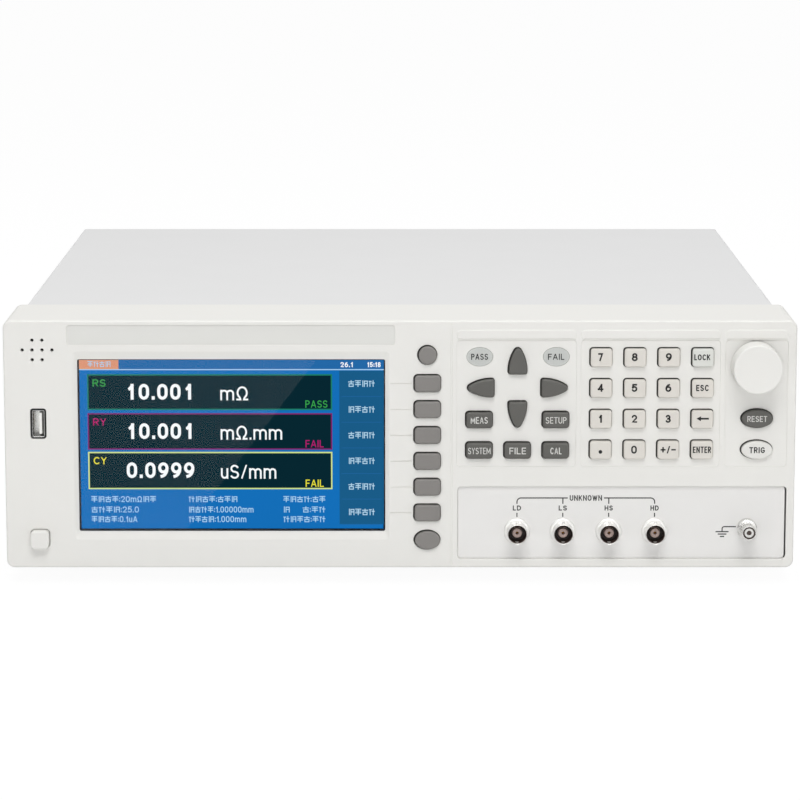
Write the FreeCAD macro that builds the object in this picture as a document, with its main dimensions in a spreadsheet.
import FreeCAD, Part
import math
import os
import Sketcher

# Four-probe resistivity meter: a bench case with a moulded front, a keypad,
# a display, a knob, four coaxial sockets and a ground post.
# Millimetres. X runs to the right seen from the front, Y into the depth, Z up.
# The origin is on the floor under the middle of the whole object.

doc = FreeCAD.newDocument("ResistivityMeter")
sheet = doc.addObject("Spreadsheet::Sheet", "Sizes")

driving_sizes = {
    # moulded front bezel
    "bezel_width": 400.0,
    "bezel_height": 127.0,
    "bezel_depth": 57.5,
    "bezel_wall": 2.5,
    "bezel_corner": 4.0,
    "bezel_edge": 1.0,
    "foot_stand": 9.0,
    "through_extra": 1.0,
    # name strip above the display
    "strip_left": 32.0,
    "strip_width": 165.5,
    "strip_drop": 7.4,
    "strip_height": 10.2,
    "strip_corner": 1.2,
    "strip_depth": 0.6,
    # display window and what is behind it
    "window_left": 37.1,
    "window_width": 155.4,
    "window_height": 88.5,
    "window_drop": 64.15,
    "surround_side": 2.0,
    "surround_rise": 4.0,
    "surround_depth": 1.2,
    "lens_lap": 3.2,
    "lens_thickness": 1.5,
    "module_lap": 4.8,
    "module_gap": 0.4,
    # grooves
    "groove_width": 1.0,
    "groove_depth": 0.4,
    "groove_inset": 174.0,
    "leader_length": 12.6,
    "leader_width": 0.5,
    "leader_inset": 200.2,
    # raised header tabs and recessed fields of the keypad
    "field_drop": 42.35,
    "field_height": 64.9,
    "field_depth": 0.5,
    "field_corner": 1.4,
    "tab_height": 5.0,
    "tab_rise": 0.35,
    "tab_slope": 2.2,
    "arrow_field_inset": 141.2,
    "arrow_field_width": 60.4,
    "digit_field_inset": 73.65,
    "digit_field_width": 70.3,
    "knob_field_inset": 20.2,
    "knob_field_width": 31.6,
    # keys in general
    "key_clearance": 0.35,
    "key_reach": 1.9,
    "key_travel": 1.2,
    "key_seat": 0.25,
    "key_flange": 1.0,
    "key_lip": 1.0,
    "key_stem": 4.0,
    "stem_clearance": 0.3,
    # column of keys beside the display
    "soft_inset": 186.0,
    "soft_width": 13.8,
    "soft_height": 9.0,
    "soft_corner": 1.5,
    "soft_drop": 32.0,
    "soft_pitch": 13.3,
    "round_key_size": 9.9,
    "round_key_drop": 17.6,
    "oval_key_width": 13.5,
    "oval_key_height": 10.1,
    "oval_key_rise": 14.4,
    # arrow keys
    "arrow_width": 9.9,
    "arrow_length": 13.8,
    "arrow_corner": 1.1,
    "arrow_nose": 2.1,
    "arrow_flank": 21.5,
    "arrow_inset": 140.5,
    "arrow_side": 18.5,
    "arrow_up_drop": 20.7,
    "arrow_down_drop": 47.9,
    "arrow_side_drop": 34.4,
    # dark function keys
    "function_width": 13.9,
    "function_height": 8.8,
    "function_corner": 1.3,
    "function_spread": 19.3,
    "function_upper_drop": 50.7,
    "function_lower_drop": 66.4,
    # pass and fail lamps
    "lamp_width": 13.2,
    "lamp_height": 9.6,
    "lamp_spread": 19.3,
    "lamp_drop": 18.5,
    "lamp_clearance": 0.1,
    "lamp_flange": 1.0,
    "lamp_lip": 1.0,
    # numeric keys
    "digit_width": 11.5,
    "digit_height": 9.9,
    "digit_corner": 1.2,
    "digit_inset": 98.5,
    "digit_drop": 18.8,
    "digit_pitch_x": 17.07,
    "digit_pitch_z": 15.73,
    # knob on its rotary encoder, with two oval keys under it
    "knob_inset": 20.7,
    "knob_drop": 23.0,
    "knob_radius": 12.5,
    "knob_reach": 14.0,
    "knob_gap": 0.6,
    "knob_edge": 1.2,
    "knob_face": 2.5,
    "shaft_radius": 3.0,
    "shaft_fit": 0.05,
    "bushing_radius": 3.5,
    "bushing_clearance": 0.2,
    "encoder_size": 12.5,
    "encoder_depth": 6.5,
    "shaft_end_gap": 1.5,
    "trigger_width": 16.4,
    "trigger_height": 9.9,
    "trigger_inset": 19.5,
    "reset_drop": 50.0,
    "trigger_drop": 66.0,
    # speaker, USB socket and power button on the left
    "left_inset": 17.2,
    "hole_radius": 0.75,
    "hole_pitch": 5.0,
    "speaker_drop": 15.0,
    "speaker_size": 18.0,
    "speaker_gap": 0.3,
    "usb_drop": 52.7,
    "usb_width": 5.7,
    "usb_height": 13.2,
    "usb_border": 1.1,
    "usb_sheet": 0.4,
    "usb_setback": 0.5,
    "usb_tongue": 1.7,
    "usb_tongue_height": 11.0,
    "usb_tongue_shift": 0.9,
    "power_size": 10.0,
    "power_corner": 1.7,
    "power_rise": 15.0,
    "power_reach": 4.5,
    "power_travel": 2.4,
    "switch_size": 11.0,
    # circuit board behind the front
    "board_setback": 11.0,
    "board_thickness": 1.6,
    "board_margin": 6.0,
    "board_step_drop": 82.0,
    "board_step_inset": 178.0,
    "boss_radius": 2.5,
    "boss_inset": 10.0,
    "boss_upper_drop": 33.0,
    "boss_middle_drop": 84.0,
    "boss_lower_rise": 9.0,
    "boss_top_drop": 10.0,
    "boss_field_drop": 78.6,
    # terminal bay
    "bay_inset": 87.4,
    "bay_width": 166.8,
    "bay_height": 37.1,
    "bay_rise": 23.1,
    "bay_corner": 1.4,
    "plate_lap": 1.4,
    "plate_thickness": 1.5,
    "socket_inset": 140.6,
    "socket_pitch": 23.3,
    "socket_rise": 18.7,
    "socket_reach": 10.5,
    "socket_radius": 4.8,
    "socket_bore": 4.15,
    "socket_bore_depth": 9.0,
    "socket_collar_radius": 6.35,
    "socket_collar": 2.0,
    "socket_tail": 8.0,
    "socket_tail_radius": 4.6,
    "insulator_radius": 2.3,
    "insulator_setback": 1.0,
    "contact_radius": 0.95,
    "contact_setback": 1.4,
    "fit_clearance": 0.05,
    "lug_radius": 1.0,
    "lug_height": 1.1,
    "lug_setback": 3.2,
    "post_inset": 23.8,
    "post_rise": 20.4,
    "post_reach": 15.0,
    "post_tip_radius": 3.65,
    "post_waist_radius": 3.1,
    "post_base_radius": 5.0,
    "post_base": 5.0,
    "post_tip": 6.5,
    "post_bore": 2.0,
    "post_bore_depth": 12.0,
    "post_tail": 9.0,
    "post_tail_radius": 3.0,
    # sheet metal case behind the bezel
    "case_length": 400.0,
    "cover_side_step": 4.9,
    "cover_drop": 1.5,
    "cover_sheet": 1.2,
    "cover_bend": 1.6,
    "cover_lap": 9.0,
    "cover_play": 0.3,
    "cover_rear_lip": 5.0,
    "tray_play": 0.15,
    "tray_flange": 16.0,
    "panel_setback": 6.0,
    "panel_sheet": 1.5,
    "screw_radius": 1.5,
    "screw_play": 0.1,
    "screw_head_radius": 2.9,
    "screw_head": 1.8,
    "screw_length": 6.0,
    "screw_rise": 10.0,
    "screw_first": 90.0,
    "screw_pitch": 250.0,
    "vent_width": 2.6,
    "vent_height": 34.0,
    "vent_pitch": 6.2,
    "vent_inset": 140.0,
    "vent_rise": 68.0,
    # feet
    "foot_radius": 11.0,
    "foot_top_radius": 12.0,
    "foot_inset": 50.0,
    "foot_front": 78.0,
    "foot_rear": 345.0,
    # parts on the rear panel
    "inlet_inset": 50.0,
    "inlet_z": 44.0,
    "inlet_flange_width": 50.0,
    "inlet_flange_height": 23.0,
    "inlet_flange": 2.5,
    "inlet_width": 27.6,
    "inlet_height": 20.0,
    "inlet_body": 21.0,
    "inlet_mouth_width": 24.4,
    "inlet_mouth_height": 16.8,
    "inlet_mouth_depth": 16.5,
    "inlet_corner": 3.0,
    "inlet_mouth_corner": 4.5,
    "inlet_pin_width": 2.0,
    "inlet_pin_height": 4.0,
    "inlet_pin_length": 14.5,
    "inlet_pin_spread": 7.0,
    "inlet_pin_raise": 2.0,
    "port_inset": 140.0,
    "port_z": 44.0,
    "port_flange_width": 31.0,
    "port_flange_height": 12.6,
    "port_flange": 1.0,
    "port_width": 17.0,
    "port_height": 8.4,
    "port_corner": 1.6,
    "port_slope": 1.5,
    "port_reach": 4.6,
    "port_body": 10.0,
    "port_wall": 0.6,
    "port_stud_spread": 12.5,
    "port_stud_radius": 2.5,
    # inside the case
    "standoff_radius": 3.5,
    "standoff_height": 7.0,
    "main_width": 200.0,
    "main_length": 240.0,
    "main_inset": 130.0,
    "main_start": 90.0,
    "standoff_inset": 8.0,
    "chip_size": 28.0,
    "chip_height": 6.0,
    "supply_width": 98.0,
    "supply_length": 160.0,
    "supply_height": 38.0,
    "supply_inset": 75.0,
    "supply_start": 150.0,
}

for row, (alias, number) in enumerate(driving_sizes.items(), start=1):
    sheet.set("A%d" % row, alias)
    sheet.set("B%d" % row, str(number))
    sheet.setAlias("B%d" % row, alias)
doc.recompute()


class Measure:
    """A length that keeps its number together with its expression on the sheet."""

    def __init__(self, number, text):
        self.number = number
        self.text = text

    def __add__(self, other):
        other = measure(other)
        return Measure(self.number + other.number, "(%s + %s)" % (self.text, other.text))

    def __sub__(self, other):
        other = measure(other)
        return Measure(self.number - other.number, "(%s - %s)" % (self.text, other.text))

    def __mul__(self, other):
        other = measure(other)
        return Measure(self.number * other.number, "(%s * %s)" % (self.text, other.text))

    def __truediv__(self, other):
        other = measure(other)
        return Measure(self.number / other.number, "(%s / %s)" % (self.text, other.text))

    def __neg__(self):
        return measure(0) - self


def measure(value):
    """Lets a plain number stand where a Measure is wanted."""
    return value if isinstance(value, Measure) else Measure(float(value), repr(float(value)))


class SheetSizes:
    """Hands out the driving sizes by name, as s.bezel_width."""

    def __getattr__(self, alias):
        return Measure(float(sheet.get(alias)), "Sizes." + alias)


s = SheetSizes()


# Places that many pieces share

quarter_turn = 90
hex_sides = 6
front_y = -(s.case_length - s.knob_reach) / 2
bezel_top = s.foot_stand + s.bezel_height
inner_face = s.bezel_wall
key_seat_y = inner_face + s.key_seat
right_edge = s.bezel_width / 2
left_edge = -right_edge


def from_top(drop):
    """Height of a point that lies this far under the bezel's top edge."""
    return bezel_top - drop


def from_bottom(rise):
    """Height of a point that lies this far above the bezel's bottom edge."""
    return s.foot_stand + rise


# Helpers for objects, sketches and features

def bind(thing, path, value):
    """Ties one property of an object to the sheet."""
    thing.setExpression(path, measure(value).text)


def place(thing, x=0, y=0, z=0):
    """Puts an object at a point that follows the sheet."""
    thing.Placement = FreeCAD.Placement(
        FreeCAD.Vector(measure(x).number, measure(y).number, measure(z).number),
        thing.Placement.Rotation)
    bind(thing, "Placement.Base.x", x)
    bind(thing, "Placement.Base.y", y)
    bind(thing, "Placement.Base.z", z)


def new_body(label, x=0, y=front_y, z=0):
    """One moulded, turned or folded piece; its zero plane is the bezel's front face."""
    body = doc.addObject("PartDesign::Body", label)
    body.Label = label
    place(body, x, y, z)
    return body


def new_sketch(body, name, role, offset, turn=0):
    """Sketch on one of the body's own origin planes, moved by an offset in that plane's frame."""
    sketch = body.newObject("Sketcher::SketchObject", name)
    plane = [f for f in body.Origin.OriginFeatures if f.Role == role][0]
    sketch.AttachmentSupport = [(plane, "")]
    sketch.MapMode = "FlatFace"
    numbers = [measure(value).number for value in offset]
    sketch.AttachmentOffset = FreeCAD.Placement(
        FreeCAD.Vector(*numbers), FreeCAD.Rotation(FreeCAD.Vector(0, 0, 1), turn))
    for axis, value in zip("xyz", offset):
        bind(sketch, "AttachmentOffset.Base." + axis, value)
    return sketch


def front_sketch(body, name, x=0, z=0, behind=0, turn=0):
    """Sketch that faces the front, this far behind the bezel's front face."""
    return new_sketch(body, name, "XZ_Plane", (x, z, -measure(behind)), turn)


def name_size(sketch, number, value):
    """Ties one dimension of a sketch to the sheet."""
    bind(sketch, "Constraints[%d]" % number, value)


def circle(sketch, radius):
    """Circle about the sketch's own origin."""
    sketch.addGeometry(Part.Circle(FreeCAD.Vector(), FreeCAD.Vector(0, 0, 1), measure(radius).number))
    sketch.addConstraint(Sketcher.Constraint("Coincident", 0, 3, -1, 1))
    name_size(sketch, sketch.addConstraint(Sketcher.Constraint("Radius", 0, measure(radius).number)), radius)


def polygon(sketch, points):
    """Closed outline through points (across, up) that all have both distances from the origin."""
    corners = [FreeCAD.Vector(measure(u).number, measure(v).number, 0) for u, v in points]
    count = len(corners)
    for i in range(count):
        sketch.addGeometry(Part.LineSegment(corners[i], corners[(i + 1) % count]))
    for i in range(count):
        sketch.addConstraint(Sketcher.Constraint("Coincident", i, 2, (i + 1) % count, 1))
    for i, (u, v) in enumerate(points):
        across = Sketcher.Constraint("DistanceX", -1, 1, i, 1, measure(u).number)
        name_size(sketch, sketch.addConstraint(across), u)
        up = Sketcher.Constraint("DistanceY", -1, 1, i, 1, measure(v).number)
        name_size(sketch, sketch.addConstraint(up), v)


def oval(sketch, width, height, sides):
    """Even-sided outline whose corners lie on an ellipse about the sketch's own origin."""
    turns = [2 * math.pi * (i + 0.5) / sides for i in range(sides)]
    wide, high = measure(width) / 2, measure(height) / 2
    polygon(sketch, [(wide * round(math.cos(turn), 12), high * round(math.sin(turn), 12)) for turn in turns])


def hexagon(sketch, radius):
    """Hexagon about the sketch's own origin, by the radius of its corners."""
    oval(sketch, radius * 2, radius * 2, hex_sides)


def cut_rectangle(sketch, width, height, cut):
    """Rectangle with cut corners about the sketch's own origin."""
    w, h, c = measure(width) / 2, measure(height) / 2, measure(cut)
    polygon(sketch, [(c - w, -h), (w - c, -h), (w, c - h), (w, h - c),
                     (w - c, h), (c - w, h), (-w, h - c), (-w, c - h)])


def rectangle(sketch, width, height):
    """Sharp rectangle about the sketch's own origin."""
    w, h = measure(width).number / 2, measure(height).number / 2
    corners = [FreeCAD.Vector(-w, -h), FreeCAD.Vector(w, -h), FreeCAD.Vector(w, h), FreeCAD.Vector(-w, h)]
    for i in range(4):
        sketch.addGeometry(Part.LineSegment(corners[i], corners[(i + 1) % 4]))
        sketch.addConstraint(Sketcher.Constraint("Vertical" if i % 2 else "Horizontal", i))
    for i in range(4):
        sketch.addConstraint(Sketcher.Constraint("Coincident", i, 2, (i + 1) % 4, 1))
    sketch.addConstraint(Sketcher.Constraint("Symmetric", 0, 1, 2, 1, -1, 1))
    name_size(sketch, sketch.addConstraint(Sketcher.Constraint("DistanceX", 0, 1, 0, 2, 2 * w)), width)
    name_size(sketch, sketch.addConstraint(Sketcher.Constraint("DistanceY", 1, 1, 1, 2, 2 * h)), height)


def rounded_rectangle(sketch, width, height, radius):
    """Rectangle with round corners about the sketch's own origin."""
    w, h, r = measure(width).number / 2, measure(height).number / 2, measure(radius).number
    quarter = math.radians(quarter_turn)
    centres = [(w - r, -h + r), (w - r, h - r), (-w + r, h - r), (-w + r, -h + r)]
    starts = [(-w + r, -h), (w, -h + r), (w - r, h), (-w, h - r)]
    ends = [(w - r, -h), (w, h - r), (-w + r, h), (-w, -h + r)]
    up = FreeCAD.Vector(0, 0, 1)
    for i in range(4):
        sketch.addGeometry(Part.LineSegment(FreeCAD.Vector(*starts[i]), FreeCAD.Vector(*ends[i])))
        round_corner = Part.Circle(FreeCAD.Vector(*centres[i]), up, r)
        first = (i - 1) * quarter
        sketch.addGeometry(Part.ArcOfCircle(round_corner, first, first + quarter))
    for i in range(4):
        line, arc, next_line = 2 * i, 2 * i + 1, (2 * i + 2) % 8
        sketch.addConstraint(Sketcher.Constraint("Tangent", line, 2, arc, 1))
        sketch.addConstraint(Sketcher.Constraint("Tangent", arc, 2, next_line, 1))
        sketch.addConstraint(Sketcher.Constraint("Vertical" if i % 2 else "Horizontal", line))
    for arc in (3, 5, 7):
        sketch.addConstraint(Sketcher.Constraint("Equal", 1, arc))
    sketch.addConstraint(Sketcher.Constraint("Symmetric", 1, 3, 5, 3, -1, 1))
    name_size(sketch, sketch.addConstraint(Sketcher.Constraint("Radius", 1, r)), radius)
    across = Sketcher.Constraint("DistanceX", 5, 3, 1, 3, 2 * (w - r))
    name_size(sketch, sketch.addConstraint(across), measure(width) - measure(radius) * 2)
    upwards = Sketcher.Constraint("DistanceY", 1, 3, 5, 3, 2 * (h - r))
    name_size(sketch, sketch.addConstraint(upwards), measure(height) - measure(radius) * 2)


def volume_of(body):
    """Volume of the body so far."""
    return body.Shape.Volume if body.Shape and not body.Shape.isNull() else 0


def finish_feature(body, feature, grows):
    """Makes a feature the body's tip and checks that it added or cut as it should."""
    before = body_volumes.get(body.Name, 0)
    body.Tip = feature
    doc.recompute()
    after = volume_of(body)
    if (after <= before) if grows else (after >= before):
        raise RuntimeError("%s left the volume of %s as it was" % (feature.Label, body.Label))
    body_volumes[body.Name] = after
    return feature


body_volumes = {}


def pad(body, sketch, length, backwards=True):
    """Adds material from the sketch, away from the viewer unless told otherwise."""
    feature = body.newObject("PartDesign::Pad", sketch.Name + "_pad")
    feature.Profile = sketch
    bind(feature, "Length", length)
    feature.Reversed = backwards
    return finish_feature(body, feature, True)


def pocket(body, sketch, depth, forwards=False):
    """Cuts material from the sketch, away from the viewer unless told otherwise."""
    feature = body.newObject("PartDesign::Pocket", sketch.Name + "_pocket")
    feature.Profile = sketch
    bind(feature, "Length", depth)
    feature.Reversed = forwards
    return finish_feature(body, feature, False)


def axis_of(body, role):
    """One of the body's own origin axes."""
    return [f for f in body.Origin.OriginFeatures if f.Role == role][0]


def row_of(body, name, feature, role, pitch, count, backwards=False, grows=False):
    """Repeats a feature along one axis at an even pitch."""
    pattern = body.newObject("PartDesign::LinearPattern", name)
    pattern.Originals = [feature]
    pattern.Direction = (axis_of(body, role), [""])
    pattern.Reversed = backwards
    bind(pattern, "Length", measure(pitch) * (count - 1))
    pattern.Occurrences = count
    return finish_feature(body, pattern, grows)


def turned_body(label, x, z, tip, points):
    """Piece turned about an axis along Y; points are (behind its tip, radius)."""
    body = new_body(label, x, front_y - tip, z)
    profile = new_sketch(body, label + "_profile", "YZ_Plane", (0, 0, 0))
    polygon(profile, points)
    feature = body.newObject("PartDesign::Revolution", label + "_turned")
    feature.Profile = profile
    feature.ReferenceAxis = (profile, ["H_Axis"])
    feature.Angle = 360
    finish_feature(body, feature, True)
    return body


def stepped_body(label, x, z, tip, lengths):
    """Round piece with straight sides; its lengths are (first, last, radius) behind its tip."""
    body = new_body(label, x, front_y - tip, z)
    for i, (first, last, radius) in enumerate(lengths):
        section = front_sketch(body, "%s_section_%d" % (label, i), behind=first)
        oval(section, radius * 2, radius * 2, oval_sides)
        pad(body, section, last - first)
    return body


def group(label, members):
    """Like pieces that share one node as separate solids."""
    together = doc.addObject("Part::Compound", label)
    together.Label = label
    together.Links = members
    return together


# Outlines that a key and its opening share, grown by a margin. Corners are cut and ovals have
# straight sides, so that the many openings stay light.

oval_sides = 24
hole_sides = 8

def soft_outline(sketch, margin):
    """Wide key beside the display."""
    cut_rectangle(sketch, s.soft_width + margin * 2, s.soft_height + margin * 2, s.soft_corner + margin / 2)


def function_outline(sketch, margin):
    """Dark function key."""
    cut_rectangle(
        sketch, s.function_width + margin * 2, s.function_height + margin * 2, s.function_corner + margin / 2)


def digit_outline(sketch, margin):
    """Numeric key."""
    cut_rectangle(
        sketch, s.digit_width + margin * 2, s.digit_height + margin * 2, s.digit_corner + margin / 2)


def power_outline(sketch, margin):
    """Power button."""
    cut_rectangle(sketch, s.power_size + margin * 2, s.power_size + margin * 2, s.power_corner + margin / 2)


def round_outline(sketch, margin):
    """Round key over the column beside the display."""
    circle(sketch, s.round_key_size / 2 + margin)


def oval_outline(sketch, margin):
    """Oval key under the column beside the display."""
    oval(sketch, s.oval_key_width + margin * 2, s.oval_key_height + margin * 2, oval_sides)


def trigger_outline(sketch, margin):
    """Oval key under the knob."""
    oval(sketch, s.trigger_width + margin * 2, s.trigger_height + margin * 2, oval_sides)


def lamp_outline(sketch, margin):
    """Oval lamp window."""
    oval(sketch, s.lamp_width + margin * 2, s.lamp_height + margin * 2, oval_sides)


def bushing_outline(sketch, margin):
    """Hole for the encoder's bushing."""
    circle(sketch, s.bushing_radius + margin)


def usb_outline(sketch, margin):
    """Window round the USB socket."""
    rectangle(sketch, s.usb_width + margin * 2, s.usb_height + margin * 2)


def bay_outline(sketch, margin):
    """Terminal bay."""
    cut_rectangle(sketch, s.bay_width + margin * 2, s.bay_height + margin * 2, s.bay_corner)


def speaker_outline(sketch, margin):
    """One hole in front of the speaker."""
    oval(sketch, (s.hole_radius + margin) * 2, (s.hole_radius + margin) * 2, hole_sides)


def arrow_outline(sketch, margin):
    """Key with a flat foot, cut foot corners, flanks that curve in and a round nose that points up."""
    half = (s.arrow_width / 2 + margin).number
    long = (s.arrow_length / 2 + margin).number
    corner = (s.arrow_corner + margin / 2).number
    nose = (s.arrow_nose + margin).number
    flank = (s.arrow_flank + margin).number
    nose_z = long - nose
    reach = ((flank - nose) ** 2 - (flank - half) ** 2) ** 0.5
    turn_z = nose_z - reach
    nose_angle = math.atan2(reach, flank - half)
    up = FreeCAD.Vector(0, 0, 1)

    def line(x, z, end_x, end_z):
        return Part.LineSegment(FreeCAD.Vector(x, z), FreeCAD.Vector(end_x, end_z))

    def arc(x, z, radius, first, last):
        return Part.ArcOfCircle(Part.Circle(FreeCAD.Vector(x, z), up, radius), first, last)

    sketch.addGeometry([
        line(corner - half, -long, half - corner, -long),
        line(half - corner, -long, half, corner - long),
        line(half, corner - long, half, turn_z),
        arc(half - flank, turn_z, flank, 0, nose_angle),
        arc(0, nose_z, nose, nose_angle, math.pi - nose_angle),
        arc(flank - half, turn_z, flank, math.pi - nose_angle, math.pi),
        line(-half, turn_z, -half, corner - long),
        line(-half, corner - long, corner - half, -long)])
    for i in range(8):
        joined = "Tangent" if 2 <= i <= 5 else "Coincident"
        sketch.addConstraint(Sketcher.Constraint(joined, i, 2, (i + 1) % 8, 1))
    sketch.addConstraint(Sketcher.Constraint("Horizontal", 0))
    sketch.addConstraint(Sketcher.Constraint("Vertical", 2))
    sketch.addConstraint(Sketcher.Constraint("Vertical", 6))
    sketch.addConstraint(Sketcher.Constraint("Equal", 3, 5))
    sketch.addConstraint(Sketcher.Constraint("PointOnObject", 4, 3, -2))
    for geometry, number, value in ((4, nose, s.arrow_nose + margin), (3, flank, s.arrow_flank + margin)):
        name_size(sketch, sketch.addConstraint(Sketcher.Constraint("Radius", geometry, number)), value)
    cut = s.arrow_corner + margin / 2
    for kind, first, first_end, second, second_end, number, value in (
            ("DistanceX", 6, 1, 2, 2, 2 * half, s.arrow_width + margin * 2),
            ("DistanceY", -1, 1, 4, 3, nose_z, s.arrow_length / 2 - s.arrow_nose),
            ("DistanceY", 0, 1, -1, 1, long, s.arrow_length / 2 + margin),
            ("DistanceX", 1, 1, 1, 2, corner, cut),
            ("DistanceY", 1, 1, 1, 2, corner, cut),
            ("DistanceX", 7, 1, 7, 2, corner, cut),
            ("DistanceY", 7, 2, 7, 1, corner, cut)):
        distance = Sketcher.Constraint(kind, first, first_end, second, second_end, number)
        name_size(sketch, sketch.addConstraint(distance), value)


# Every key: its outline, its place, its turn and the size that its flange has to cover

arrow_x = right_edge - s.arrow_inset
digit_x = right_edge - s.digit_inset
soft_x = right_edge - s.soft_inset
trigger_x = right_edge - s.trigger_inset
power_x = left_edge + s.left_inset

keys = {}


def add_key(label, outline, x, z, width, height, turn=0):
    """Notes one key for the bezel's openings and for its own body."""
    keys[label] = {"outline": outline, "x": x, "z": z, "width": width, "height": height, "turn": turn}


for i in range(6):
    add_key("softkey_%d" % (i + 1), soft_outline, soft_x, from_top(s.soft_drop + s.soft_pitch * i),
            s.soft_width, s.soft_height)
add_key("page_key", round_outline, soft_x, from_top(s.round_key_drop), s.round_key_size, s.round_key_size)
add_key("copy_key", oval_outline, soft_x, from_bottom(s.oval_key_rise), s.oval_key_width, s.oval_key_height)
add_key("arrow_up", arrow_outline, arrow_x, from_top(s.arrow_up_drop), s.arrow_width, s.arrow_length)
add_key("arrow_down", arrow_outline, arrow_x, from_top(s.arrow_down_drop), s.arrow_width, s.arrow_length,
        2 * quarter_turn)
add_key("arrow_left", arrow_outline, arrow_x - s.arrow_side, from_top(s.arrow_side_drop),
        s.arrow_width, s.arrow_length, quarter_turn)
add_key("arrow_right", arrow_outline, arrow_x + s.arrow_side, from_top(s.arrow_side_drop),
        s.arrow_width, s.arrow_length, -quarter_turn)
for label, column, drop in (
        ("measure_key", -1, s.function_upper_drop), ("setup_key", 1, s.function_upper_drop),
        ("system_key", -1, s.function_lower_drop), ("file_key", 0, s.function_lower_drop),
        ("calibrate_key", 1, s.function_lower_drop)):
    add_key(label, function_outline, arrow_x + s.function_spread * column, from_top(drop),
            s.function_width, s.function_height)
digit_rows = (
    ("digit_7", "digit_8", "digit_9", "lock_key"),
    ("digit_4", "digit_5", "digit_6", "escape_key"),
    ("digit_1", "digit_2", "digit_3", "backspace_key"),
    ("point_key", "digit_0", "sign_key", "enter_key"))
for row, labels in enumerate(digit_rows):
    for column, label in enumerate(labels):
        add_key(label, digit_outline, digit_x + s.digit_pitch_x * column,
                from_top(s.digit_drop + s.digit_pitch_z * row), s.digit_width, s.digit_height)
add_key("reset_key", trigger_outline, trigger_x, from_top(s.reset_drop), s.trigger_width, s.trigger_height)
add_key("trigger_key", trigger_outline, trigger_x, from_top(s.trigger_drop),
        s.trigger_width, s.trigger_height)

lamp_places = [arrow_x - s.lamp_spread, arrow_x + s.lamp_spread]
lamp_z = from_top(s.lamp_drop)
knob_x = right_edge - s.knob_inset
knob_z = from_top(s.knob_drop)
speaker_z = from_top(s.speaker_drop)
usb_z = from_top(s.usb_drop)
power_z = from_bottom(s.power_rise)
window_x = left_edge + s.window_left + s.window_width / 2
window_z = from_top(s.window_drop)
bay_x = right_edge - s.bay_inset
bay_z = from_bottom(s.bay_rise)
socket_places = [right_edge - s.socket_inset + s.socket_pitch * i for i in range(4)]
socket_z = from_bottom(s.socket_rise)
post_x = right_edge - s.post_inset
post_z = from_bottom(s.post_rise)
main_x = right_edge - s.main_inset
supply_x = left_edge + s.supply_inset
inlet_x = left_edge + s.inlet_inset
port_x = left_edge + s.port_inset
vent_middle = right_edge - s.vent_inset
foot_spread = right_edge - s.foot_inset

# Bosses inside the bezel that carry the circuit board

boss_places = [
    (left_edge + s.boss_inset, from_top(s.boss_upper_drop)),
    (left_edge + s.boss_inset, from_top(s.boss_middle_drop)),
    (window_x, from_bottom(s.boss_lower_rise)),
    (right_edge - s.groove_inset, from_top(s.boss_field_drop)),
    (right_edge - s.groove_inset, from_top(s.boss_top_drop)),
    (right_edge - s.arrow_field_inset + s.arrow_field_width / 2, from_top(s.boss_field_drop)),
    (right_edge - s.knob_field_inset - s.knob_field_width / 2, from_top(s.boss_field_drop))]


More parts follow.
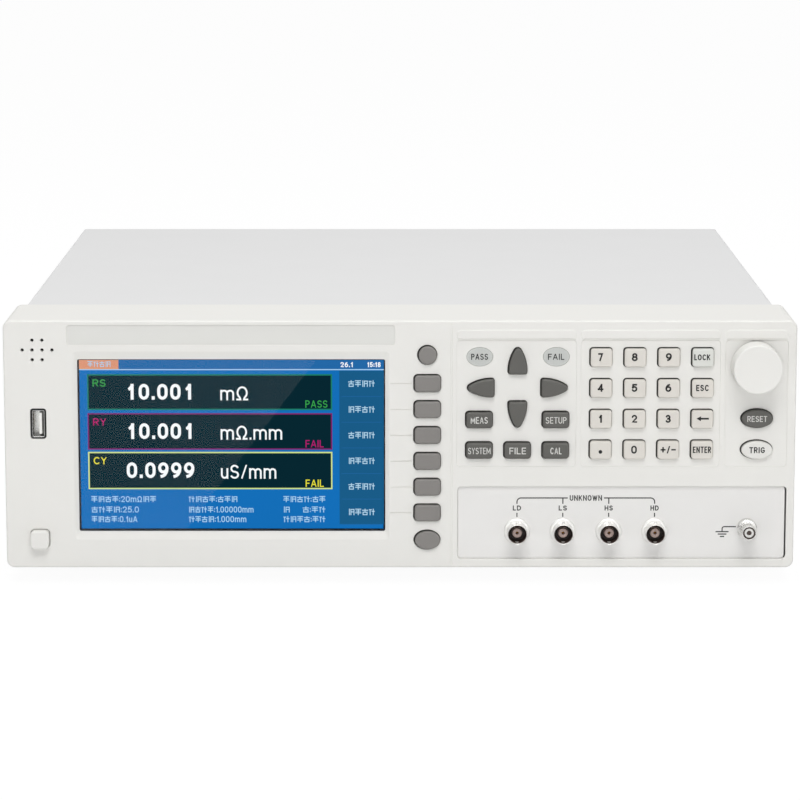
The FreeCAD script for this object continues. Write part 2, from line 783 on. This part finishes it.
def make_bezel():
    """Moulded bezel: hollow from behind, with its bosses, recesses, grooves and raised tabs."""
    body = new_body("bezel_moulding")
    middle_z = s.foot_stand + s.bezel_height / 2
    outline = front_sketch(body, "bezel_outline", 0, middle_z)
    rounded_rectangle(outline, s.bezel_width, s.bezel_height, s.bezel_corner)
    block = pad(body, outline, s.bezel_depth)

    rim = [i + 1 for i, edge in enumerate(block.Shape.Edges)
           if all(abs(v.Point.y) < 1e-6 for v in edge.Vertexes)]
    slant = body.newObject("PartDesign::Chamfer", "bezel_front_edge")
    slant.Base = (block, ["Edge%d" % number for number in rim])
    bind(slant, "Size", s.bezel_edge)
    finish_feature(body, slant, False)

    # rear mouth that takes the cover, then the cavity with thinner walls behind the front
    mouth = front_sketch(body, "bezel_mouth", 0, middle_z, s.bezel_depth)
    rectangle(mouth, s.bezel_width - (s.cover_side_step - s.cover_play) * 2,
              s.bezel_height - (s.cover_drop - s.cover_play) * 2)
    pocket(body, mouth, s.cover_lap, forwards=True)
    cavity = front_sketch(body, "bezel_cavity", 0, middle_z, s.bezel_depth - s.cover_lap)
    cut_rectangle(cavity, s.bezel_width - s.bezel_wall * 2, s.bezel_height - s.bezel_wall * 2,
                  s.bezel_corner - s.bezel_edge)
    pocket(body, cavity, s.bezel_depth - s.cover_lap - s.bezel_wall, forwards=True)

    for i, (x, z) in enumerate(boss_places):
        boss = front_sketch(body, "bezel_boss_%d" % i, x, z, s.bezel_wall)
        hexagon(boss, s.boss_radius)
        pad(body, boss, s.board_setback - s.bezel_wall)

    # name strip
    strip_x = left_edge + s.strip_left + s.strip_width / 2
    strip = front_sketch(body, "name_strip", strip_x, from_top(s.strip_drop))
    cut_rectangle(strip, s.strip_width, s.strip_height, s.strip_corner)
    pocket(body, strip, s.strip_depth)

    # display window in its sloped surround
    outer = front_sketch(body, "surround_outer", window_x, window_z)
    rectangle(outer, s.window_width + s.surround_side * 2, s.window_height + s.surround_rise * 2)
    inner = front_sketch(body, "surround_inner", window_x, window_z, s.surround_depth)
    rectangle(inner, s.window_width, s.window_height)
    slope = body.newObject("PartDesign::SubtractiveLoft", "display_surround")
    slope.Profile = outer
    slope.Sections = [inner]
    slope.Ruled = True
    finish_feature(body, slope, False)
    window = front_sketch(body, "display_window", window_x, window_z)
    rectangle(window, s.window_width, s.window_height)
    pocket(body, window, s.bezel_wall + s.through_extra)

    # recessed keypad fields, each under a raised tab with sloped upper corners
    for name, inset, width in (
            ("arrow", s.arrow_field_inset, s.arrow_field_width),
            ("digit", s.digit_field_inset, s.digit_field_width),
            ("knob", s.knob_field_inset, s.knob_field_width)):
        field = front_sketch(body, name + "_field", right_edge - inset, from_top(s.field_drop))
        cut_rectangle(field, width, s.field_height, s.field_corner)
        pocket(body, field, s.field_depth)
        tab_foot = from_top(s.field_drop) + s.field_height / 2
        tab = front_sketch(body, name + "_tab", right_edge - inset, tab_foot, -s.tab_rise)
        polygon(tab, [(-width / 2, 0), (width / 2, 0), (width / 2, s.tab_height - s.tab_slope),
                      (width / 2 - s.tab_slope, s.tab_height), (s.tab_slope - width / 2, s.tab_height),
                      (-width / 2, s.tab_height - s.tab_slope)])
        pad(body, tab, s.tab_rise + s.bezel_edge)

    # full-height groove, and the short leader grooves from the display to its keys
    groove = front_sketch(body, "panel_groove", right_edge - s.groove_inset, middle_z)
    rectangle(groove, s.groove_width, s.bezel_height)
    pocket(body, groove, s.groove_depth)
    leader = front_sketch(body, "leader_groove", right_edge - s.leader_inset, from_top(s.soft_drop))
    rectangle(leader, s.leader_length, s.leader_width)
    first_leader = pocket(body, leader, s.groove_depth)
    row_of(body, "leader_grooves", first_leader, "Z_Axis", s.soft_pitch, 6, backwards=True)
    return body


def make_opening(label, outline, margin, x, z, turn=0):
    """Straight-walled cutter that runs through the bezel's front wall."""
    profile = doc.addObject("Sketcher::SketchObject", label + "_opening")
    outline(profile, measure(margin))
    upright = FreeCAD.Rotation(FreeCAD.Vector(1, 0, 0), quarter_turn)
    profile.Placement.Rotation = upright.multiply(FreeCAD.Rotation(FreeCAD.Vector(0, 0, 1), turn))
    place(profile, x, front_y - s.tab_rise, z)
    cutter = doc.addObject("Part::Extrusion", label + "_cutter")
    cutter.Base = profile
    cutter.DirMode = "Custom"
    cutter.Dir = FreeCAD.Vector(0, 1, 0)
    cutter.Solid = True
    bind(cutter, "LengthFwd", s.tab_rise + s.bezel_wall + s.through_extra)
    return cutter


def make_front():
    """The bezel with every opening through its front wall."""
    cutters = [make_opening(label, plan["outline"], s.key_clearance, plan["x"], plan["z"], plan["turn"])
               for label, plan in keys.items()]
    cutters.append(make_opening("power_button", power_outline, s.key_clearance, power_x, power_z))
    cutters.extend(make_opening("lamp_%d" % i, lamp_outline, s.lamp_clearance, x, lamp_z)
                   for i, x in enumerate(lamp_places))
    cutters.append(make_opening("bushing", bushing_outline, s.bushing_clearance, knob_x, knob_z))
    cutters.append(make_opening("usb", usb_outline, s.usb_border, power_x, usb_z))
    cutters.append(make_opening("terminal_bay", bay_outline, 0, bay_x, bay_z))
    for level, count in ((1, 2), (0, 4), (-1, 2)):
        for i in range(count):
            cutters.append(make_opening(
                "speaker", speaker_outline, 0, power_x + s.hole_pitch * (i - (count - 1) / 2),
                speaker_z + s.hole_pitch * level))
    front = doc.addObject("Part::Cut", "front_bezel")
    front.Label = "front_bezel"
    front.Base = make_bezel()
    front.Tool = group("front_openings", cutters)
    return front


def make_key(label, plan, reach, stem_end):
    """Key cap with a flange that catches behind the bezel and a stem towards the board."""
    body = new_body(label, plan["x"], front_y, plan["z"])
    body.Placement.Rotation = FreeCAD.Rotation(FreeCAD.Vector(0, 1, 0), -plan["turn"])
    cap = front_sketch(body, label + "_cap", behind=-reach)
    plan["outline"](cap, measure(0))
    pad(body, cap, reach + key_seat_y)
    flange = front_sketch(body, label + "_flange", behind=key_seat_y)
    rectangle(flange, plan["width"] + s.key_lip * 2, plan["height"] + s.key_lip * 2)
    pad(body, flange, s.key_flange)
    if stem_end is not None:
        stem = front_sketch(body, label + "_stem", behind=key_seat_y + s.key_flange)
        rectangle(stem, s.key_stem, s.key_stem)
        pad(body, stem, stem_end - key_seat_y - s.key_flange)
    return body


def make_plate(label, x, z, behind, width, height, thickness):
    """Flat plate that faces the front."""
    body = new_body(label)
    outline = front_sketch(body, label + "_outline", x, z, behind)
    rectangle(outline, width, height)
    pad(body, outline, thickness)
    return body


def make_lamps():
    """Two oval lenses, flush with the floor of their field, with a flange behind the wall."""
    lenses = []
    for i, x in enumerate(lamp_places):
        body = new_body("lamp_lens_%d" % i, x, front_y, lamp_z)
        face = front_sketch(body, "lamp_face_%d" % i, behind=s.field_depth)
        lamp_outline(face, measure(0))
        pad(body, face, s.bezel_wall - s.field_depth)
        flange = front_sketch(body, "lamp_flange_%d" % i, behind=s.bezel_wall)
        rectangle(flange, s.lamp_width + s.lamp_lip * 2, s.lamp_height + s.lamp_lip * 2)
        pad(body, flange, s.lamp_flange)
        lenses.append(body)
    return group("status_lenses", lenses)


def make_terminal_plate():
    """Plate at the bottom of the terminal bay, with a hole for each socket and the post."""
    plate = make_plate("terminal_plate", bay_x, bay_z, s.bezel_wall, s.bay_width + s.plate_lap * 2,
                       s.bay_height + s.plate_lap * 2, s.plate_thickness)
    first = front_sketch(plate, "socket_hole", socket_places[0], socket_z, s.bezel_wall)
    hexagon(first, s.socket_tail_radius + s.fit_clearance)
    hole = pocket(plate, first, s.plate_thickness + s.through_extra)
    row_of(plate, "socket_holes", hole, "X_Axis", s.socket_pitch, 4)
    post = front_sketch(plate, "post_hole", post_x, post_z, s.bezel_wall)
    hexagon(post, s.post_tail_radius + s.fit_clearance)
    pocket(plate, post, s.plate_thickness + s.through_extra)
    return plate


def make_sockets():
    """Four bayonet sockets: bored shells with two lugs and a six-sided tail that keys them in
    the plate, and in each an insulator on the floor of its bore, with a contact in it."""
    tip = s.socket_reach - s.bezel_wall
    collar_start = s.socket_reach - s.socket_collar
    bore_end = s.socket_bore_depth
    shells, inserts = [], []
    for i, x in enumerate(socket_places):
        shell = stepped_body("socket_shell_%d" % i, x, socket_z, tip, [
            (0, collar_start, s.socket_radius), (collar_start, s.socket_reach, s.socket_collar_radius)])
        bore = front_sketch(shell, "socket_bore_%d" % i)
        oval(bore, s.socket_bore * 2, s.socket_bore * 2, oval_sides)
        pocket(shell, bore, bore_end)
        root = (s.socket_bore + s.socket_radius) / 2
        lug = new_sketch(shell, "lug_%d" % i, "XY_Plane", (0, s.lug_setback, root))
        oval(lug, s.lug_radius * 2, s.lug_radius * 2, hole_sides)
        upper = pad(shell, lug, s.socket_radius - root + s.lug_height, backwards=False)
        pair = shell.newObject("PartDesign::Mirrored", "lugs_%d" % i)
        pair.Originals = [upper]
        pair.MirrorPlane = (axis_of(shell, "XY_Plane"), [""])
        finish_feature(shell, pair, True)
        add_tail(shell, s.socket_reach, s.socket_tail_radius, s.socket_tail)
        shells.append(shell)
        start = s.insulator_setback
        insulator = stepped_body("insulator_%d" % i, x, socket_z, tip, [
            (start, bore_end, s.insulator_radius)])
        hole = front_sketch(insulator, "contact_hole_%d" % i, behind=start)
        hexagon(hole, s.contact_radius + s.fit_clearance)
        pocket(insulator, hole, bore_end - start)
        inserts.append(insulator)
        contact = new_body("contact_%d" % i, x, front_y - tip, socket_z)
        section = front_sketch(contact, "contact_section_%d" % i, behind=s.contact_setback)
        hexagon(section, s.contact_radius)
        pad(contact, section, bore_end - s.contact_setback)
        inserts.append(contact)
    return [group("bnc_shells", shells), group("bnc_inserts", inserts)]


def add_tail(body, behind, radius, length):
    """Six-sided tail that goes back through the terminal plate."""
    tail = front_sketch(body, body.Name + "_tail", behind=behind)
    hexagon(tail, radius)
    pad(body, tail, s.plate_thickness + length)


def make_ground_post():
    """Ground post with a waist, a plug bore in its tip and a six-sided tail."""
    base = s.post_reach - s.post_base
    post = stepped_body("ground_post", post_x, post_z, s.post_reach - s.bezel_wall, [
        (0, s.post_tip, s.post_tip_radius), (s.post_tip, base, s.post_waist_radius),
        (base, s.post_reach, s.post_base_radius)])
    bore = front_sketch(post, "plug_bore")
    circle(bore, s.post_bore)
    pocket(post, bore, s.post_bore_depth)
    add_tail(post, s.post_reach, s.post_tail_radius, s.post_tail)
    return post


def make_knob():
    """Knob with a slanted front edge, bored from behind for the encoder's bushing and shaft."""
    hub_bore = s.shaft_radius + s.fit_clearance
    back = s.knob_reach - s.knob_gap
    return turned_body("tuning_knob", knob_x, knob_z, s.knob_reach, [
        (0, 0), (0, s.knob_radius - s.knob_edge), (s.knob_edge, s.knob_radius), (back, s.knob_radius),
        (back, hub_bore), (s.knob_face, hub_bore), (s.knob_face, 0)])


def make_encoder():
    """Encoder on the board with a bushing through the bezel, and the shaft that turns in it."""
    body = new_body("rotary_encoder", knob_x, front_y, knob_z)
    case = front_sketch(body, "encoder_case", behind=s.board_setback - s.encoder_depth)
    rectangle(case, s.encoder_size, s.encoder_size)
    pad(body, case, s.encoder_depth)
    bushing = front_sketch(body, "encoder_bushing")
    circle(bushing, s.bushing_radius)
    pad(body, bushing, s.board_setback - s.encoder_depth)
    bore = front_sketch(body, "encoder_bore")
    circle(bore, s.shaft_radius + s.shaft_fit)
    pocket(body, bore, s.board_setback - s.shaft_end_gap)
    shaft = doc.addObject("Part::Cylinder", "encoder_shaft")
    shaft.Label = "encoder_shaft"
    bind(shaft, "Radius", s.shaft_radius)
    tip = s.knob_reach - s.knob_face - s.fit_clearance
    bind(shaft, "Height", tip + s.board_setback - s.shaft_end_gap - s.stem_clearance)
    shaft.Placement.Rotation = FreeCAD.Rotation(FreeCAD.Vector(1, 0, 0), -quarter_turn)
    place(shaft, knob_x, front_y - tip, knob_z)
    return [body, shaft]


def make_usb():
    """USB socket: a rectangular shell on the board with a tongue inside."""
    body = new_body("usb_receptacle", power_x, front_y, usb_z)
    shell = front_sketch(body, "usb_shell", behind=s.usb_setback)
    rectangle(shell, s.usb_width, s.usb_height)
    pad(body, shell, s.board_setback - s.usb_setback)
    mouth = front_sketch(body, "usb_mouth", behind=s.usb_setback)
    rectangle(mouth, s.usb_width - s.usb_sheet * 2, s.usb_height - s.usb_sheet * 2)
    pocket(body, mouth, s.board_setback - s.usb_setback - s.bezel_wall)
    tongue = front_sketch(body, "usb_tongue", x=s.usb_tongue_shift, behind=s.usb_setback + s.bezel_edge)
    rectangle(tongue, s.usb_tongue, s.usb_tongue_height)
    pad(body, tongue, s.board_setback - s.usb_setback - s.bezel_edge)
    return body


def make_front_board():
    """Stepped circuit board on the bezel's bosses; it leaves room for the terminal bay."""
    body = new_body("front_board")
    left = left_edge + s.board_margin
    right = right_edge - s.board_margin
    top = from_top(s.board_margin)
    step_z = from_top(s.board_step_drop)
    step_x = right_edge - s.board_step_inset
    bottom = from_bottom(s.board_margin)
    outline = front_sketch(body, "front_board_outline", behind=s.board_setback)
    polygon(outline, [(left, bottom), (step_x, bottom), (step_x, step_z), (right, step_z),
                      (right, top), (left, top)])
    pad(body, outline, s.board_thickness)
    return body


def make_block(label, x, z, behind, width, height, depth):
    """Plain closed block that faces the front."""
    block = doc.addObject("Part::Box", label)
    block.Label = label
    bind(block, "Length", width)
    bind(block, "Width", depth)
    bind(block, "Height", height)
    place(block, measure(x) - measure(width) / 2, front_y + behind, measure(z) - measure(height) / 2)
    return block


# Sheet metal case

cover_front = s.bezel_depth - s.cover_lap + s.cover_play
cover_half = right_edge - s.cover_side_step
cover_top = bezel_top - s.cover_drop
tray_bottom = s.foot_stand + s.cover_drop
tray_half = cover_half - s.cover_sheet - s.tray_play
tray_floor = tray_bottom + s.cover_sheet
panel_behind = s.case_length - s.panel_setback - s.panel_sheet
side_screw_z = tray_bottom + s.screw_rise
screws_in_row = 2
vent_count = 20


def side_holes(body, name, half):
    """Row of screw holes through both side walls of a folded sheet."""
    for side, sign in (("left", -1), ("right", 1)):
        hole = new_sketch(body, "%s_%s_hole" % (name, side), "YZ_Plane",
                          (s.screw_first, side_screw_z, half * sign))
        hexagon(hole, s.screw_radius + s.screw_play)
        cut = body.newObject("PartDesign::Pocket", "%s_%s_cut" % (name, side))
        cut.Profile = hole
        cut.Midplane = True
        bind(cut, "Length", s.cover_sheet + s.through_extra)
        finish_feature(body, cut, False)
        row_of(body, "%s_%s_holes" % (name, side), cut, "Y_Axis", s.screw_pitch, screws_in_row)


def make_cover():
    """Cover folded from one sheet: a top, two sides and a lip that turns in at the rear."""
    body = new_body("top_cover")
    height = cover_top - tray_bottom
    middle = tray_bottom + height / 2
    length = s.case_length - cover_front
    outer = front_sketch(body, "cover_outer", 0, middle, cover_front)
    rounded_rectangle(outer, cover_half * 2, height, s.cover_bend)
    pad(body, outer, length)
    inner_depth = length - s.cover_sheet
    inner = front_sketch(body, "cover_inner", 0, middle, cover_front)
    rectangle(inner, (cover_half - s.cover_sheet) * 2, height - s.cover_sheet * 2)
    pocket(body, inner, inner_depth)
    under = front_sketch(body, "cover_under", 0, tray_bottom, cover_front)
    rectangle(under, (cover_half - s.cover_sheet) * 2, (s.cover_bend + s.cover_sheet) * 2)
    pocket(body, under, length)
    rear = front_sketch(body, "cover_rear", 0, middle - s.cover_rear_lip / 2, s.case_length - s.cover_sheet)
    rectangle(rear, (cover_half - s.cover_rear_lip) * 2, height - s.cover_rear_lip)
    pocket(body, rear, s.cover_sheet)
    side_holes(body, "cover", cover_half - s.cover_sheet / 2)
    return body


def make_tray():
    """Chassis tray folded from one sheet, with side flanges and standoffs for the main board."""
    body = new_body("chassis_tray")
    length = s.case_length - s.cover_sheet - s.cover_play - cover_front
    section = front_sketch(body, "tray_section", 0, 0, cover_front)
    top = tray_bottom + s.tray_flange
    inner = tray_half - s.cover_sheet
    polygon(section, [
        (-tray_half, tray_bottom), (tray_half, tray_bottom), (tray_half, top), (inner, top),
        (inner, tray_floor), (-inner, tray_floor), (-inner, top), (-tray_half, top)])
    pad(body, section, length)
    for i, (across, along) in enumerate(((-1, 0), (1, 0), (-1, 1), (1, 1))):
        x = main_x + (s.main_width / 2 - s.standoff_inset) * across
        y = s.main_start + s.standoff_inset + (s.main_length - s.standoff_inset * 2) * along
        standoff = new_sketch(body, "standoff_%d" % i, "XY_Plane", (x, y, tray_floor))
        hexagon(standoff, s.standoff_radius)
        pad(body, standoff, s.standoff_height, backwards=False)
    side_holes(body, "tray", tray_half - s.cover_sheet / 2)
    return body


def make_rear_panel():
    """Rear panel with vent slots and the cut-outs for the inlet and the serial port."""
    body = new_body("rear_panel")
    bottom = tray_floor
    top = cover_top - s.cover_sheet - s.cover_play
    outline = front_sketch(body, "panel_outline", 0, (bottom + top) / 2, panel_behind)
    rectangle(outline, (tray_half - s.cover_sheet - s.tray_play) * 2, top - bottom)
    pad(body, outline, s.panel_sheet)
    first_x = vent_middle - s.vent_pitch * (vent_count - 1) / 2
    slot = front_sketch(body, "vent_slot", first_x, s.vent_rise, panel_behind)
    rectangle(slot, s.vent_width, s.vent_height)
    first = pocket(body, slot, s.panel_sheet + s.through_extra)
    row_of(body, "vent_slots", first, "X_Axis", s.vent_pitch, vent_count)
    for name, x, z, width, height in (
            ("inlet", inlet_x, s.inlet_z, s.inlet_width, s.inlet_height),
            ("port", port_x, s.port_z, s.port_width, s.port_height)):
        cut = front_sketch(body, name + "_cutout", x, z, panel_behind)
        rectangle(cut, width + s.cover_play * 2, height + s.cover_play * 2)
        pocket(body, cut, s.panel_sheet + s.through_extra)
    return body


def make_inlet():
    """Mains inlet: a flange on the panel, a hollow body and three blades."""
    back = panel_behind + s.panel_sheet
    body = new_body("power_inlet", inlet_x, front_y, s.inlet_z)
    flange = front_sketch(body, "inlet_flange", behind=back)
    cut_rectangle(flange, s.inlet_flange_width, s.inlet_flange_height, s.inlet_corner)
    pad(body, flange, s.inlet_flange)
    core = front_sketch(body, "inlet_core", behind=back)
    rectangle(core, s.inlet_width, s.inlet_height)
    pad(body, core, s.inlet_body, backwards=False)
    rear = back + s.inlet_flange
    mouth = front_sketch(body, "inlet_mouth", behind=rear)
    side, top, cut = s.inlet_mouth_width / 2, s.inlet_mouth_height / 2, s.inlet_mouth_corner
    polygon(mouth, [(-side, -top), (side, -top), (side, top - cut), (side - cut, top),
                    (cut - side, top), (-side, top - cut)])
    pocket(body, mouth, s.inlet_mouth_depth, forwards=True)
    for i, (x, z) in enumerate((
            (-s.inlet_pin_spread, -s.inlet_pin_raise), (s.inlet_pin_spread, -s.inlet_pin_raise),
            (measure(0), s.inlet_pin_raise))):
        blade = front_sketch(body, "inlet_blade_%d" % i, x, z, rear - s.inlet_mouth_depth)
        rectangle(blade, s.inlet_pin_width, s.inlet_pin_height)
        pad(body, blade, s.inlet_pin_length)
    return body


def port_outline(sketch, margin):
    """Nine-way port's outline, wider at the top, smaller by a margin."""
    side, top = s.port_width / 2 - margin, s.port_height / 2 - margin
    polygon(sketch, [(s.port_slope - side, -top), (side - s.port_slope, -top), (side, top), (-side, top)])


def make_port():
    """Nine-way serial port: flange, shell with sloped ends, and two hexagonal studs."""
    back = panel_behind + s.panel_sheet
    body = new_body("serial_port", port_x, front_y, s.port_z)
    flange = front_sketch(body, "port_flange", behind=back)
    cut_rectangle(flange, s.port_flange_width, s.port_flange_height, s.port_corner)
    pad(body, flange, s.port_flange)
    inner = front_sketch(body, "port_body", behind=back)
    rectangle(inner, s.port_width, s.port_height)
    pad(body, inner, s.port_body, backwards=False)
    shell = front_sketch(body, "port_shell", behind=back + s.port_flange)
    port_outline(shell, measure(0))
    pad(body, shell, s.port_reach)
    mouth = front_sketch(body, "port_mouth", behind=back + s.port_flange + s.port_reach)
    port_outline(mouth, s.port_wall)
    pocket(body, mouth, s.port_reach, forwards=True)
    for side, sign in (("left", -1), ("right", 1)):
        stud = front_sketch(body, "port_stud_" + side, s.port_stud_spread * sign, 0, back + s.port_flange)
        hexagon(stud, s.port_stud_radius)
        pad(body, stud, s.port_reach)
    return body


def make_feet():
    """Four round feet that taper down to the floor."""
    feet = []
    for i, (sign, behind) in enumerate((
            (-1, s.foot_front), (1, s.foot_front), (-1, s.foot_rear), (1, s.foot_rear))):
        body = new_body("foot_%d" % i, foot_spread * sign, front_y + behind, 0)
        sole = new_sketch(body, "foot_sole_%d" % i, "XY_Plane", (0, 0, 0))
        oval(sole, s.foot_radius * 2, s.foot_radius * 2, oval_sides)
        top = new_sketch(body, "foot_top_%d" % i, "XY_Plane", (0, 0, tray_bottom))
        oval(top, s.foot_top_radius * 2, s.foot_top_radius * 2, oval_sides)
        taper = body.newObject("PartDesign::AdditiveLoft", "foot_taper_%d" % i)
        taper.Profile = sole
        taper.Sections = [top]
        taper.Ruled = True
        finish_feature(body, taper, True)
        feet.append(body)
    return group("feet", feet)


def make_screws():
    """Four screws through the cover's sides into the tray, each with a six-sided shank."""
    screws = []
    for side, sign in (("left", -1), ("right", 1)):
        for i in range(screws_in_row):
            name = "screw_%s_%d" % (side, i)
            body = new_body(name, 0, front_y + s.screw_first + s.screw_pitch * i, side_screw_z)
            head = new_sketch(body, name + "_head", "YZ_Plane", (0, 0, cover_half * sign))
            oval(head, s.screw_head_radius * 2, s.screw_head_radius * 2, hex_sides * 2)
            pad(body, head, s.screw_head, backwards=sign < 0)
            shank = new_sketch(body, name + "_shank", "YZ_Plane", (0, 0, cover_half * sign))
            hexagon(shank, s.screw_radius)
            pad(body, shank, s.screw_length, backwards=sign > 0)
            screws.append(body)
    return group("cover_screws", screws)


def make_main_board():
    """Main board on its standoffs, with one processor under a heat spreader."""
    bottom = tray_floor + s.standoff_height
    board = make_block("board_panel", main_x, bottom + s.board_thickness / 2, s.main_start,
                       s.main_width, s.board_thickness, s.main_length)
    chip = make_block("board_chip", main_x, bottom + s.board_thickness + s.chip_height / 2,
                      s.main_start + s.main_length / 2, s.chip_size, s.chip_height, s.chip_size)
    main = doc.addObject("Part::Fuse", "main_board")
    main.Label = "main_board"
    main.Base = board
    main.Tool = chip
    return main


subparts = [make_front()]
stem_end = s.board_setback - s.key_travel - s.stem_clearance
for label, plan in keys.items():
    subparts.append(make_key(label, plan, s.key_reach, stem_end))
power_plan = {"outline": power_outline, "x": power_x, "z": power_z,
              "width": s.power_size, "height": s.power_size, "turn": 0}
subparts.append(make_key("power_button", power_plan, s.power_reach, None))
subparts.append(make_knob())
subparts.extend(make_encoder())
subparts.append(make_plate(
    "display_lens", window_x, window_z, s.bezel_wall, s.window_width + s.lens_lap * 2,
    s.window_height + s.lens_lap * 2, s.lens_thickness))
module_behind = s.bezel_wall + s.lens_thickness
subparts.append(make_plate(
    "lcd_module", window_x, window_z, module_behind, s.window_width + s.module_lap * 2,
    s.window_height + s.module_lap * 2, s.board_setback - module_behind - s.module_gap))
subparts.append(make_lamps())
subparts.append(make_terminal_plate())
subparts.extend(make_sockets())
subparts.append(make_ground_post())
subparts.append(make_usb())
subparts.append(make_front_board())
switch_front = key_seat_y + s.key_flange + s.power_travel + s.stem_clearance
subparts.append(make_block(
    "power_switch", power_x, power_z, switch_front, s.switch_size, s.switch_size,
    s.board_setback - switch_front))
speaker_front = s.bezel_wall + s.speaker_gap
subparts.append(make_block(
    "speaker", power_x, speaker_z, speaker_front, s.speaker_size, s.speaker_size,
    s.board_setback - speaker_front))
subparts.append(make_cover())
subparts.append(make_tray())
subparts.append(make_rear_panel())
subparts.append(make_inlet())
subparts.append(make_port())
subparts.append(make_feet())
subparts.append(make_screws())
subparts.append(make_main_board())
subparts.append(make_block(
    "power_supply", supply_x, tray_floor + s.supply_height / 2, s.supply_start,
    s.supply_width, s.supply_height, s.supply_length))

doc.recompute()

for thing in doc.Objects:
    if "Invalid" in thing.State or "Error" in thing.State:
        raise RuntimeError("%s is in state %s" % (thing.Label, thing.State))
for piece in subparts:
    if piece.Shape.isNull() or not piece.Shape.isValid():
        raise RuntimeError("%s has no valid shape" % piece.Label)

os.makedirs("parts", exist_ok=True)
for piece in subparts:
    piece.Shape.exportStep(os.path.join("parts", piece.Label + ".step"))
print("%d nodes written" % len(subparts))
